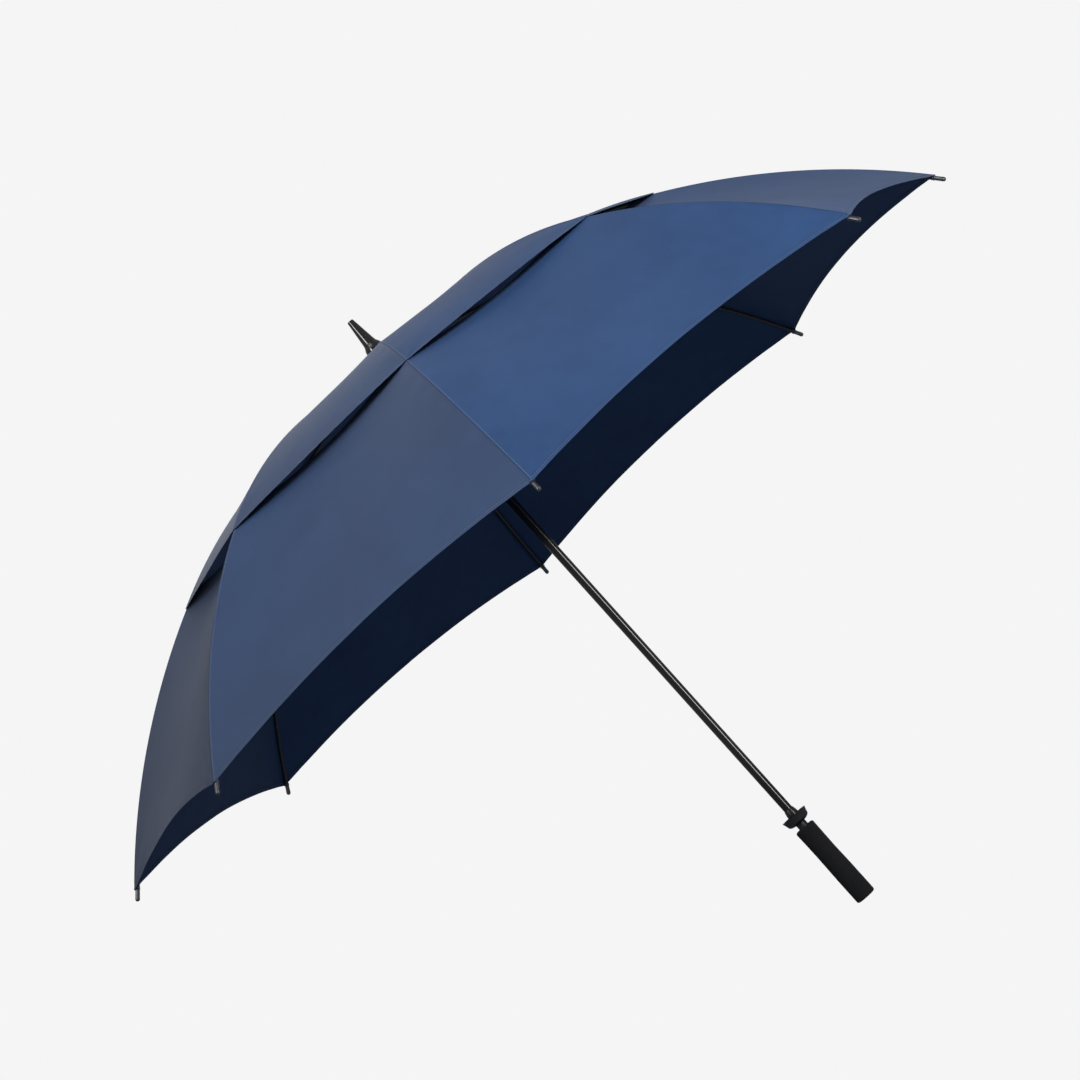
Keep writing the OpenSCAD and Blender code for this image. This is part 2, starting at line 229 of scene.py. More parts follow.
def makeCloth(name, use, sheen, shine):
    look = clothLook
    material, shade, shader = newMaterial(name, {
        "Specular IOR Level": shine, "Sheen Weight": sheen, "Sheen Roughness": 0.45,
        "Sheen Tint": (0.86, 0.90, 1.0, 1.0)})
    place = shade.node("Attribute", {"attribute_name": "weavePlace"}, out="Vector")
    across, along, fromHem = place.parts()
    turn = 2 * math.pi / look["weavePitch"]
    weave = (across * turn).sine() * (along * turn).sine()
    warp = place.scaled((900.0, 22.0, 0.0)).grain(1.0, 2.0, 0.6)
    weft = place.scaled((22.0, 900.0, 0.0)).grain(1.0, 2.0, 0.6)
    slub = (warp + weft) * 0.5
    body = shade.node("TexCoord", out="Object")
    cloudy = body.grain(9.0, 4.0, 0.55, 0.3)
    soil = body.grain(38.0, 5.0, 0.6)
    # the weave's over-and-under relief is also painted faintly into the tone, as painted shade
    tone = (slub * 0.45 + cloudy * 0.35 + soil * 0.2 + weave * 0.03).stretched(0.32, 0.68)
    if use == "hem":
        dash = (across.wrapped(look["stitch"]) < 0.70) * fromHem.band(look["hemStitch"], 0.00030, 0.00018)
        grooveShade = fromHem.band(look["hemStitch"], 0.0002, 0.0007) - dash
        fold = fromHem.band(look["hemWidth"], 0.00015, 0.0005)
        edge = fromHem.band(0.0, 0.0006, 0.0007)
    else:
        dash = (along.wrapped(look["stitch"]) < 0.70) * across.band(look["seamStitch"], 0.00028, 0.00018)
        grooveShade = across.band(look["seamStitch"], 0.0002, 0.0006) - dash
        fold = across.band(0.0, 0.00035, 0.0005)
        edge = across.band(0.0011, 0.0002, 0.0005)
    base = tone.tint(look["deep"], look["light"])
    # painted shade: the hem's fold line, the middle of the seam and the groove of the stitches are darkened
    # towards the dark fold colour
    base = (fold * 0.9).maths("MAXIMUM", fold * 0.9, grooveShade * 0.55).tint(base, look["fold"])
    # painted highlight: a lighter line along the hem's edge and on the seam's lips, tinted a little towards
    # the thread colour
    base = (edge * 0.08).tint(base, look["thread"])
    base = (dash * 0.9).tint(base, look["thread"])
    rough = look["roughness"] + slub * 0.16 - 0.08 + weave * 0.03 + dash * 0.08
    height = weave * 0.22 + slub * 0.5 + dash * 1.5 - grooveShade * 0.9 - fold * 1.2
    feed(shade.tree, shader, {"Base Color": base, "Roughness": rough,
                              "Normal": relief(shade, height, 0.30, 0.0004)})
    return material


def makeGloss(name, base, roughness, wear=0.05, coat=0.6):
    # polished black, with faint orange peel, smears and hairline scratches along the piece
    material, shade, shader = newMaterial(name, {"Coat Roughness": 0.06, "Coat IOR": 1.5,
                                                 "Specular IOR Level": 0.5, "Coat Weight": coat})
    body = shade.node("TexCoord", out="Object")
    peel = body.grain(160.0, 1.0, 0.5)
    smear = body.scaled((26.0, 26.0, 7.0)).grain(1.0, 5.0, 0.6, 0.4)
    hair = body.scaled((900.0, 900.0, 14.0)).grain(1.0, 1.0, 0.5)
    dust = body.grain(1500.0, 1.0, 0.5).stretched(0.68, 0.80)
    scratch = hair.stretched(0.66, 0.76)
    shadeOf = (smear * 0.7 + dust * 0.3).stretched(0.35, 0.75)
    lighter = tuple(c * 1.9 + 0.004 for c in base)
    feed(shade.tree, shader, {
        "Base Color": shadeOf.tint(base, lighter),
        "Roughness": roughness + smear.stretched(0.35, 0.7) * wear + scratch * 0.06,
        "Normal": relief(shade, peel, 0.012, 0.0003)})
    return material


def makeRod(name, base, roughness):
    # pulled fibreglass: fine streaks and a little fuzz
    material, shade, shader = newMaterial(name, {"Specular IOR Level": 0.45})
    body = shade.node("TexCoord", out="Object")
    streak = body.scaled((700.0, 700.0, 120.0)).grain(1.0, 3.0, 0.6, 0.2)
    cloudy = body.grain(60.0, 4.0, 0.6)
    fleck = body.grain(2600.0, 1.0, 0.5).stretched(0.62, 0.74)
    lighter = tuple(c * 2.4 + 0.006 for c in base)
    feed(shade.tree, shader, {
        "Base Color": (streak * 0.5 + cloudy * 0.3 + fleck * 0.2).stretched(0.3, 0.75).tint(base, lighter),
        "Roughness": roughness + (streak - 0.5) * 0.22 + fleck * 0.1,
        "Normal": relief(shade, streak + fleck * 0.6, 0.14, 0.0003)})
    return material


def makeMoulded(name, base, roughness, grainSize=1300.0):
    # moulded plastic with a spark-eroded grain
    material, shade, shader = newMaterial(name, {"Specular IOR Level": 0.45})
    body = shade.node("TexCoord", out="Object")
    grain = body.node("TexVoronoi", {"feature": "SMOOTH_F1"},
                      {"Vector": body, "Scale": grainSize, "Smoothness": 0.6}, "Distance")
    flow = body.grain(70.0, 4.0, 0.55, 0.6)
    rub = body.grain(24.0, 5.0, 0.65).stretched(0.5, 0.75)
    lighter = tuple(c * 1.8 + 0.006 for c in base)
    feed(shade.tree, shader, {
        "Base Color": (flow * 0.6 + rub * 0.4).stretched(0.25, 0.8).tint(base, lighter),
        "Roughness": roughness + (flow - 0.5) * 0.12 - rub * 0.08,
        "Normal": relief(shade, grain, 0.10, 0.0002)})
    return material


foamLook = {
    "deep": (0.0055, 0.0055, 0.006), "light": (0.012, 0.012, 0.013), "pore": (0.002, 0.002, 0.0025),
    "cellScale": 1100.0, "poreScale": 430.0,
}


def makeFoam(name):
    # closed-cell foam with a sanded skin
    material, shade, shader = newMaterial(name, {"Specular IOR Level": 0.16, "Sheen Weight": 0.03,
                                                 "Sheen Roughness": 0.6})
    body = shade.node("TexCoord", out="Object")
    cells, pores = (body.node("TexVoronoi", {"feature": "F1"},
                              {"Vector": body, "Scale": foamLook[size], "Randomness": 1.0}, "Distance")
                    for size in ("cellScale", "poreScale"))
    pit = 1.0 - pores.stretched(0.06, 0.20)
    cloudy = body.scaled((30.0, 30.0, 14.0)).grain(1.0, 4.0, 0.6)
    tone = (cells * 0.4 + cloudy * 0.6).stretched(0.25, 0.75).tint(foamLook["deep"], foamLook["light"])
    feed(shade.tree, shader, {
        # painted shade: the pits of the pores are darkened towards the dark pore colour
        "Base Color": (pit * 0.6).tint(tone, foamLook["pore"]),
        "Roughness": 0.74 + cloudy * 0.12 + pit * 0.1,
        "Normal": relief(shade, cells * 0.7 - pit * 0.9, 0.34, 0.0004)})
    return material


def makeMetal(name, tone, roughness):
    # drawn metal: brushed along, with handling marks
    material, shade, shader = newMaterial(name, {"Metallic": 1.0})
    body = shade.node("TexCoord", out="Object")
    brush = body.scaled((1600.0, 1600.0, 260.0)).grain(1.0, 3.0, 0.6)
    marks = body.grain(190.0, 5.0, 0.6)
    darker = tuple(c * 0.72 for c in tone)
    feed(shade.tree, shader, {
        "Base Color": (brush * 0.4 + marks * 0.6).stretched(0.3, 0.7).tint(darker, tone),
        "Roughness": roughness + brush * 0.12 + marks.stretched(0.45, 0.75) * 0.1,
        "Normal": relief(shade, brush, 0.10, 0.0002)})
    return material


threadLook = {"deep": (0.020, 0.034, 0.075), "light": (0.055, 0.085, 0.16), "twist": 5200.0}


def makeThread(name):
    # twisted sewing thread
    material, shade, shader = newMaterial(name, {"Sheen Weight": 0.3, "Sheen Roughness": 0.5})
    place = shade.node("Attribute", {"attribute_name": "weavePlace"}, out="Vector")
    around, along, _ = place.parts()
    twist = (around + along * threadLook["twist"]).sine() * 0.5 + 0.5
    fuzz = place.scaled((2.0, 4000.0, 0.0)).grain(1.0, 2.0)
    feed(shade.tree, shader, {
        # painted shade and highlight: the colour follows the twist, darker in its grooves and lighter on its
        # crests
        "Base Color": (twist * 0.7 + fuzz * 0.3).tint(threadLook["deep"], threadLook["light"]),
        "Roughness": 0.62 + fuzz * 0.2,
        "Normal": relief(shade, twist, 0.4, 0.0002)})
    return material


finish = {
    "cloth": makeCloth("navyCloth", "hem", 0.15, 0.45),
    "lining": makeCloth("navyLining", "hem", 0.02, 0.18),
    "seam": makeCloth("navySeam", "seam", 0.15, 0.45),
    "shaft": makeGloss("polishedShaft", (0.006, 0.006, 0.0065), 0.13),
    "ferrule": makeGloss("polishedFerrule", (0.006, 0.006, 0.0065), 0.16, 0.06),
    "rod": makeRod("fibreglassRod", (0.010, 0.010, 0.011), 0.36),
    "stretcher": makeRod("paintedStretcher", (0.012, 0.012, 0.013), 0.30),
    "hub": makeMoulded("hubPlastic", (0.012, 0.012, 0.013), 0.38),
    "cup": makeMoulded("cupPlastic", (0.008, 0.008, 0.009), 0.26, 1700.0),
    "foam": makeFoam("gripFoam"),
    "steel": makeMetal("drawnSteel", (0.66, 0.67, 0.69), 0.22),
    "tip": makeMetal("nickelTip", (0.17, 0.175, 0.19), 0.34),
    "bush": makeMoulded("whiteBush", (0.55, 0.54, 0.50), 0.42),
    "thread": makeThread("navyThread"),
    "sleeve": makeMoulded("sleeveRubber", (0.014, 0.014, 0.015), 0.50, 900.0),
}

ribCount = 8
nodeFinish = {
    "shaft_tube": "shaft", "crown_washer": "hub", "crown_notch": "hub", "grip_core": "hub",
    "end_plug": "hub", "runner": "hub", "runner_bush": "bush", "crown_wire": "steel",
    "crown_pin": "steel", "top_catch": "steel", "catch_pin": "steel", "runner_wire": "steel",
    "latch_button": "steel", "latch_spring": "steel",
}
for k in range(1, ribCount + 1):
    nodeFinish["inner_rib_%d" % k] = "rod"
    nodeFinish["outer_rib_%d" % k] = "rod"
    nodeFinish["stretcher_%d" % k] = "stretcher"


def wear(obj, name):
    if not obj.material_slots:
        obj.data.materials.append(None)
    for slot in obj.material_slots:
        slot.link = "OBJECT"
        slot.material = finish[name]


for name, kind in nodeFinish.items():
    wear(nodes[name], kind)
print("finishes made:", len(finish))

# the ribs' line, in metres from the crown pivots

ribLine = {
    "length": 0.762, "joint": 0.370, "straight": 0.124, "innerBend": 0.555, "outerBend": 0.950,
    "mainLift": 0.0041, "ventLift": 0.0054, "crownLift": 0.0063,
}
crownZ = jointOf["canopy_fold"]["pos_m"][2]
pivotR = jointOf["canopy_fold"]["pos_m"][0]
halfPitch = math.pi / ribCount
sinHalf, cosHalf = math.sin(halfPitch), math.cos(halfPitch)
jointAngle = (ribLine["joint"] - ribLine["straight"]) / ribLine["innerBend"]
bendGap = ribLine["innerBend"] - ribLine["outerBend"]


def ribAngle(s):
    if s <= ribLine["straight"]:
        return 0.0
    if s <= ribLine["joint"]:
        return (s - ribLine["straight"]) / ribLine["innerBend"]
    return jointAngle + (s - ribLine["joint"]) / ribLine["outerBend"]


def ribRadius(s):
    if s <= ribLine["straight"]:
        return pivotR + s
    start = pivotR + ribLine["straight"]
    if s <= ribLine["joint"]:
        return start + ribLine["innerBend"] * math.sin(ribAngle(s))
    return start + bendGap * math.sin(jointAngle) + ribLine["outerBend"] * math.sin(ribAngle(s))


def ribHeight(s):
    if s <= ribLine["straight"]:
        return 0.0
    if s <= ribLine["joint"]:
        return ribLine["innerBend"] * (math.cos(ribAngle(s)) - 1)
    drop = -ribLine["innerBend"] + bendGap * math.cos(jointAngle)
    return drop + ribLine["outerBend"] * math.cos(ribAngle(s))


def ribTurn(k):
    return Matrix.Translation((0, 0, crownZ)) @ Matrix.Rotation(2 * halfPitch * (k - 1), 4, "Z")


# canopy

canopy = {
    "thickness": 0.00035,
    "rimScallop": 0.024, "sag": 0.012, "ventGap": 0.014,
    "ventScallop": 0.006, "ventSag": 0.0012, "ventEnd": 0.399,
    "crownFlat": 0.008, "crownSlope": 0.040,
    "creases": 0.0010,  # height of the folds that fan out from the corners
    "creaseReach": 0.35, "creaseStart": 0.010,
    "freeOfRib": 0.006,  # how soon a fold rises beside the rib
    "pucker": 0.00016, "seamPucker": 0.0017, "hemPucker": 0.0019,
    "drift": 0.0009, "driftSize": 9.0,  # slow unevenness of a stretched panel
    "rowStep": 0.009, "columns": 22, "columnEase": 1.25,
}
hem = {
    "thick": 0.0003, "edge": 0.0003, "edgeSink": -0.00022,
    "stitchHalf": 0.0003, "stitchSink": -0.00014,
    # rows of points at the hem, as distances from its edge
    "rows": [0.0, 0.0006, 0.0020, 0.0040, 0.0050, 0.0054, 0.0058, 0.0066, 0.0069, 0.0074, 0.0095],
    "clear": 0.012,
}
seam = {
    "half": 0.0038, "rowStep": 0.0045, "thick": 0.0007,
    "ventStart": 0.001, "ventEnd": 0.3988, "panelGap": 0.002, "panelEnd": 0.7618,
    # share of the half width, and height over the cloth
    "profile": [(-1.0, -0.00022), (-0.86, 0.00008), (-0.66, 0.00024), (-0.50, 0.00013), (-0.34, 0.00030),
                (-0.14, 0.00030), (0.0, -0.00012), (0.14, 0.00040), (0.34, 0.00036), (0.50, 0.00016),
                (0.66, 0.00026), (0.86, 0.00008), (1.0, -0.00022)],
}


def clamp01(x):
    return 0.0 if x < 0 else 1.0 if x > 1 else x


def dip(t):
    return 1 - (1 - abs(t)) ** 2


def ventCut(s):
    flat, end = canopy["crownFlat"], canopy["ventEnd"]
    g = clamp01((s - flat) / (end - flat))
    slope = clamp01((s - flat) / canopy["crownSlope"])
    lift = ribLine["crownLift"] + (ribLine["ventLift"] - ribLine["crownLift"]) * slope
    return canopy["ventScallop"] * g * g, canopy["ventSag"] * 4 * g * (1 - g), lift


def panelCut(s):
    f = clamp01((s - ribLine["joint"]) / (ribLine["length"] - ribLine["joint"]))
    sag = canopy["ventGap"] * (1 - f) + canopy["sag"] * 4 * f * (1 - f)
    return canopy["rimScallop"] * f * f, sag, ribLine["mainLift"]


layers = {
    "vent": {"cut": ventCut, "end": canopy["ventEnd"], "fan": 0.055, "folds": 5.0},
    "panel": {"cut": panelCut, "end": ribLine["length"], "fan": 0.085, "folds": 6.0},
}


def clothPoint(layer, k, s, t, extra=0.0):
    kind = layers[layer]
    scallop, sag, lift = kind["cut"](s)
    q = s - scallop * dip(t)
    r, a = ribRadius(q), ribAngle(q)
    lateral = abs(t) * r * sinHalf * cosHalf
    w = halfPitch * t
    # folds fanning in from the corner, puckers along seam and hem, and slow unevenness
    back = kind["end"] - s
    reach = math.hypot(back, lateral)
    side = 1 if t >= 0 else -1
    phase = math.sin(k * 2.4 + side * 1.3) * 2.0
    offRib = 1 - math.exp(-lateral / canopy["freeOfRib"])
    rise = 0.0
    if reach < canopy["creaseReach"]:
        angle = math.atan2(lateral, max(back, 1e-6))
        started = 1 - math.exp(-reach / canopy["creaseStart"])
        fade = math.exp(-reach / kind["fan"]) * started * (1 - abs(t)) ** 2
        size = 0.7 + 0.5 * math.sin(k * 1.7 + side)
        rise += canopy["creases"] * size * fade * offRib * math.sin(kind["folds"] * angle + phase)
    gather = math.sin(s / canopy["seamPucker"] + 2 * math.sin(s * 31 + k))
    rise += canopy["pucker"] * math.exp(-lateral / 0.010) * offRib * gather
    rise += (canopy["pucker"] * math.exp(-max(back, 0) / 0.008)
             * math.sin(lateral * side / canopy["hemPucker"] + k))
    turn = 2 * halfPitch * (k - 1) + w
    spot = Vector((r * math.cos(turn), r * math.sin(turn), s)) * canopy["driftSize"]
    rise += canopy["drift"] * dip(t) * clamp01(s / 0.1) * noise.noise(spot)
    drop = lift - sag * dip(t) + rise + extra
    return Vector((
        r * (1 - abs(t) * sinHalf * sinHalf) + drop * math.sin(a) * math.cos(w),
        r * t * sinHalf * cosHalf + drop * math.sin(a) * math.sin(w),
        ribHeight(q) + drop * math.cos(a)))


def faceNormal(layer, k, s, t, tLow, tHigh):
    ds, dt = 0.0012, 0.012
    alongS = clothPoint(layer, k, s + ds, t) - clothPoint(layer, k, s - ds, t)
    t1, t0 = min(t + dt, tHigh), max(t - dt, tLow)
    alongT = clothPoint(layer, k, s, t1) - clothPoint(layer, k, s, t0)
    up = alongS.cross(alongT)
    return up.normalized() if up.z > 0 else (-up).normalized()


def thinGrid(name, outer, normals, under, places, outside):
    # a closed thin sheet from rows of outer points, with smooth faces and a crisp edge
    m, n = len(outer), len(outer[0])
    layer = m * n
    points = [p for row in outer for p in row]
    points += [outer[i][j] - normals[i][j] * under[i][j] for i in range(m) for j in range(n)]
    faces, loopNormals, kinds = [], [], []

    def flip(face, towards):
        a, b, c = (points[face[i]] for i in (0, 1, 2))
        return face if (b - a).cross(c - b).dot(towards) > 0 else face[::-1]

    for i in range(m - 1):
        for j in range(n - 1):
            p = i * n + j
            quad = flip([p, p + 1, p + n + 1, p + n], normals[i][j])
            faces.append(quad)
            kinds += [0, 1]
            loopNormals += [normals[v // n][v % n] for v in quad]
            below = [v + layer for v in quad[::-1]]
            faces.append(below)
            loopNormals += [-normals[(v - layer) // n][(v - layer) % n] for v in below]
    middle = sum(points, Vector()) / len(points)
    ring = ([(0, j) for j in range(n)] + [(i, n - 1) for i in range(1, m)]
            + [(m - 1, j) for j in range(n - 2, -1, -1)] + [(i, 0) for i in range(m - 2, 0, -1)])
    for a, b in zip(ring, ring[1:] + ring[:1]):
        p, q = a[0] * n + a[1], b[0] * n + b[1]
        edge = points[q] - points[p]
        away = edge.cross(normals[a[0]][a[1]])
        if away.dot((points[p] + points[q]) / 2 - middle) < 0:
            away = -away
        away.normalize()
        side = flip([p, q, q + layer, p + layer], away)
        faces.append(side)
        loopNormals += [away] * 4
        kinds.append(0)
    mesh = bpy.data.meshes.new(name)
    mesh.from_pydata(points, [], faces)
    mesh.polygons.foreach_set("use_smooth", [True] * len(faces))
    mesh.materials.append(finish[outside])
    mesh.materials.append(finish["lining"])
    mesh.polygons.foreach_set("material_index", kinds)
    attribute = mesh.attributes.new("weavePlace", "FLOAT_VECTOR", "POINT")
    flat = [c for row in places for place in row for c in place]
    attribute.data.foreach_set("vector", flat + flat)
    mesh.normals_split_custom_set(loopNormals)
    obj = placeMesh(name, mesh)
    area = sum(mesh.polygons[i].area for i in range(0, 2 * (m - 1) * (n - 1), 2))
    return obj, area


def stations(low, high, hemAt=None):
    count = max(2, round((high - low) / canopy["rowStep"]))
    rows = [low + (high - low) * i / count for i in range(count + 1)]
    if hemAt:
        rows = [s for s in rows if s < hemAt - hem["clear"]] + [hemAt - d for d in reversed(hem["rows"])]
    return rows


def makeGore(name, layer, k, low, high, tLow, tHigh, hemmed=False):
    end = layers[layer]["end"]
    rows = stations(low, high, end if hemmed else None)
    count = canopy["columns"] if tHigh - tLow < 1.5 else 2 * canopy["columns"]
    # closer together at the rib, where the cloth turns
    columns = [tLow + (tHigh - tLow) * j / count for j in range(count + 1)]
    columns = [math.copysign(abs(t) ** canopy["columnEase"], t) for t in columns]
    outer, normals, under, places = [], [], [], []
    turn = ribTurn(k)
    spin = turn.to_3x3()
    for s in rows:
        fromEdge = end - s
        folded = hem["thick"] if hemmed and fromEdge < clothLook["hemWidth"] else 0.0
        fromStitch = abs(fromEdge - clothLook["hemStitch"])
        sewn = hem["stitchSink"] if hemmed and fromStitch < hem["stitchHalf"] else 0.0
        rounded = hem["edgeSink"] if hemmed and fromEdge < hem["edge"] else 0.0
        outer.append([turn @ clothPoint(layer, k, s, t, sewn + rounded) for t in columns])
        normals.append([spin @ faceNormal(layer, k, s, t, tLow, tHigh) for t in columns])
        under.append([canopy["thickness"] + folded + 2 * rounded] * len(columns))
        spread = ribRadius(s) * sinHalf * cosHalf
        places.append([(t * spread, s, fromEdge if hemmed else 1.0) for t in columns])
    obj, area = thinGrid(name, outer, normals, under, places, "cloth")
    width = (tHigh - tLow) * ribRadius(high) * sinHalf
    return obj, area, (width, high - low)


def makeSeam(name, layer, k, low, high):
    # the sewn seam over the rib: two folded lips with a groove between them
    half, profile = seam["half"], seam["profile"]
    count = max(2, round((high - low) / seam["rowStep"]))
    turn = ribTurn(k)
    outer, places = [], []
    for i in range(count + 1):
        s = low + (high - low) * i / count
        spread = ribRadius(s) * sinHalf * cosHalf
        row = []
        for share, rise in profile:
            t = max(-1.0, min(1.0, share * half / spread))
            row.append(turn @ clothPoint(layer, k, s, t, rise))
        outer.append(row)
        places.append([(share * half, s, 1.0) for share, _ in profile])
    m, n = len(outer), len(profile)
    normals = []
    for i in range(m):
        row = []
        for j in range(n):
            a = outer[min(i + 1, m - 1)][j] - outer[max(i - 1, 0)][j]
            b = outer[i][min(j + 1, n - 1)] - outer[i][max(j - 1, 0)]
            up = a.cross(b)
            row.append(up.normalized() if up.z > 0 else (-up).normalized())
        normals.append(row)
    under = [[seam["thick"]] * n for _ in range(m)]
    obj, _ = thinGrid(name, outer, normals, under, places, "seam")
    return obj


folding = {
    # band of the upper canopy along the rib, and how much of its width is left when closed
    "ventBands": [("ventCrown", -0.0045, 0.018, 0.80), ("ventCollar", 0.018, 0.045, 0.50),
                  ("ventNeck", 0.045, 0.105, 0.39), ("ventUpper", 0.105, 0.170, 0.335),
                  ("ventMiddle", 0.170, 0.240, 0.285),
                  ("ventLower", 0.240, 0.305, 0.225), ("ventFoot", 0.305, 0.370, 0.165)],
    "panel": {"tilt": 12.9, "keep": 0.098, "rise": 0.0062},
    "skirt": {"tilt": 7.9, "keep": 0.07, "rise": 0.0083},
}


def ribFrame(k):
    angle = 2 * halfPitch * (k - 1)
    out = Vector((math.cos(angle), math.sin(angle), 0))
    lateral = Vector((-math.sin(angle), math.cos(angle), 0))
    return out, lateral


def ribPoint(k, s):
    out, _ = ribFrame(k)
    return out * ribRadius(s) + Vector((0, 0, crownZ + ribHeight(s)))


def foldHalf(obj, k, side, way):
    out, lateral = ribFrame(k)
    hinge, tip = ribPoint(k, ribLine["joint"]), ribPoint(k, ribLine["length"])
    chord = (tip - hinge).normalized()
    up = lateral.cross(chord)
    if up.z < 0:
        up = -up
    tilt = math.radians(way["tilt"])
    axis = lateral * math.cos(tilt) - up * math.sin(tilt) * side
    tuple(hinge + up * way["rise"])
    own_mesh(obj)


clothPieces = 0
for k in range(1, ribCount + 1):
    ventSeam = makeSeam("ventSeam%d" % k, "vent", k, seam["ventStart"], ribLine["joint"])
    skirtSeam = makeSeam("skirtSeam%d" % k, "vent", k, ribLine["joint"], seam["ventEnd"])
    panelSeam = makeSeam("panelSeam%d" % k, "panel", k, ribLine["joint"] + seam["panelGap"], seam["panelEnd"])
    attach(ventSeam, "rib_%d" % k)
    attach(skirtSeam, "rib_end_%d" % k)
    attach(panelSeam, "rib_end_%d" % k)
    for stem, low, high, keep in folding["ventBands"]:
        gore, area, flat = makeGore("%s%d" % (stem, k), "vent", k, low, high, -1.0, 1.0)
        min(area, flat[0] * flat[1])
        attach(gore, "rib_%d" % k)
        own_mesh(gore)
        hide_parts("vent_canopy_%d" % k)
        clothPieces += 1
    for side, word in ((1, "Left"), (-1, "Right")):
        tLow, tHigh = (0.0, 1.0) if side > 0 else (-1.0, 0.0)
        skirt, area, flat = makeGore("skirt%s%d" % (word, k), "vent", k,
                                     ribLine["joint"], canopy["ventEnd"], tLow, tHigh, True)
        min(area, flat[0] * flat[1])
        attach(skirt, "rib_end_%d" % k)
        foldHalf(skirt, k, side, folding["skirt"])
        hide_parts("vent_canopy_%d" % k)
        panel, area, flat = makeGore("panel%s%d" % (word, k), "panel", k,
                                     ribLine["joint"], ribLine["length"], tLow, tHigh, True)
        min(area, flat[0] * flat[1])
        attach(panel, "rib_end_%d" % k)
        foldHalf(panel, k, side, folding["panel"])
        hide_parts("main_canopy_%d" % k)
        clothPieces += 2
print("canopy sewn:", clothPieces, "pieces of cloth")


# turned pieces

def turned(name, profile, place, steps=72, ripple=None):
    # profile is (radius, height) from one end round to the other
    mesh = bpy.data.meshes.new(name)
    points, faces = [], []
    for r, z in profile:
        for i in range(steps):
            a = 2 * math.pi * i / steps
            wide = r + (ripple(a, z) if ripple and r > 0 else 0.0)
            points.append(place @ Vector((wide * math.cos(a), wide * math.sin(a), z)))
    for row in range(len(profile) - 1):
        for i in range(steps):
            p, q = row * steps + i, row * steps + (i + 1) % steps
            faces.append([p, q, q + steps, p + steps])
    for row, way in ((0, -1), (len(profile) - 1, 1)):
        faces.append([row * steps + i for i in range(steps)][::way])
    mesh.from_pydata(points, [], faces)
    mesh.polygons.foreach_set("use_smooth", [True] * len(faces))
    mesh.set_sharp_from_angle(angle=math.radians(38))
    mesh.validate()
    return placeMesh(name, mesh)


def eased(points, per=6):
    # a smooth line through (radius, height) points
    full = [points[0]] + list(points) + [points[-1]]
    made = []
    for i in range(1, len(full) - 2):
        p0, p1, p2, p3 = (np.array(full[i + o], float) for o in (-1, 0, 1, 2))
        for j in range(per):
            u = j / per
            made.append(tuple(0.5 * ((2 * p1) + (p2 - p0) * u + (2 * p0 - 5 * p1 + 4 * p2 - p3) * u * u
                                     + (3 * p1 - p0 - 3 * p2 + p3) * u ** 3)))
    made.append(tuple(points[-1]))
    return [(max(r, 0.0), z) for r, z in made]


def mm(points):
    return [(r / 1000, z / 1000) for r, z in points]


ferruleShape = {
    "bell": [(13.8, 8.22), (13.9, 8.8), (13.5, 11.2), (13.1, 16.0), (12.8, 22.0), (12.55, 26.6), (12.3, 28.8),
             (11.7, 30.9), (10.8, 32.7), (9.9, 34.3), (9.15, 36.0), (8.65, 38.0), (8.35, 40.0)],
    "cone": [(8.35, 40.0), (7.3, 49.0), (6.1, 59.0), (4.95, 69.0), (4.35, 73.8)],
    "tip": [(4.35, 73.8), (4.15, 74.4), (3.6, 74.85), (2.4, 75.05), (0.05, 75.1)],
}
atCrown = Matrix.Translation((0, 0, crownZ))
ferruleLine = (mm([(6.05, 8.2), (13.4, 8.2)]) + eased(mm(ferruleShape["bell"]))
               + eased(mm(ferruleShape["cone"]), 3)[1:] + eased(mm(ferruleShape["tip"]), 4)[1:])
ferrule = turned("ferruleCap", ferruleLine, atCrown, 96)
wear(ferrule, "ferrule")
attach(ferrule, "shaft")
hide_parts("ferrule")

cupShape = {
    "wall": [(7.02, 66.0), (9.6, 66.1), (13.2, 67.4), (15.5, 69.3), (16.2, 71.4), (16.9, 74.2),
             (17.9, 77.2), (18.4, 78.3)],
    "rim": [(18.4, 78.3), (18.45, 78.55), (18.25, 78.72), (17.95, 78.66), (17.75, 78.3)],
    "inside": [(17.75, 78.3), (16.8, 75.6), (15.7, 72.6), (14.8, 70.2), (13.0, 68.4), (10.0, 67.6),
               (8.1, 67.45)],
    "collar": [(8.3, 67.5), (8.05, 68.6), (8.0, 75.0), (7.95, 81.0), (7.6, 83.6), (7.0, 86.4),
               (6.6, 88.0), (6.3, 88.55), (6.04, 88.6)],
}
still = Matrix.Identity(4)
cupLine = (eased(mm(cupShape["wall"])) + eased(mm(cupShape["rim"]), 4)[1:]
           + eased(mm(cupShape["inside"]))[1:])
cup = turned("tipCup", cupLine, still, 96)
wear(cup, "cup")
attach(cup, "shaft")
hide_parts("tip_cup")
collar = turned("cupCollar", eased(mm(cupShape["collar"])), still, 72)
wear(collar, "cup")
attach(collar, "shaft")
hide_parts("cup_collar")

gripShape = {
    "radius": 14.0, "half": 59.0, "edge": 2.8, "bore": 8.02,
    "waist": 0.45, "waistAt": 20.0, "waistLong": 26.0,
    "steps": 64, "edgeSteps": 7,
}


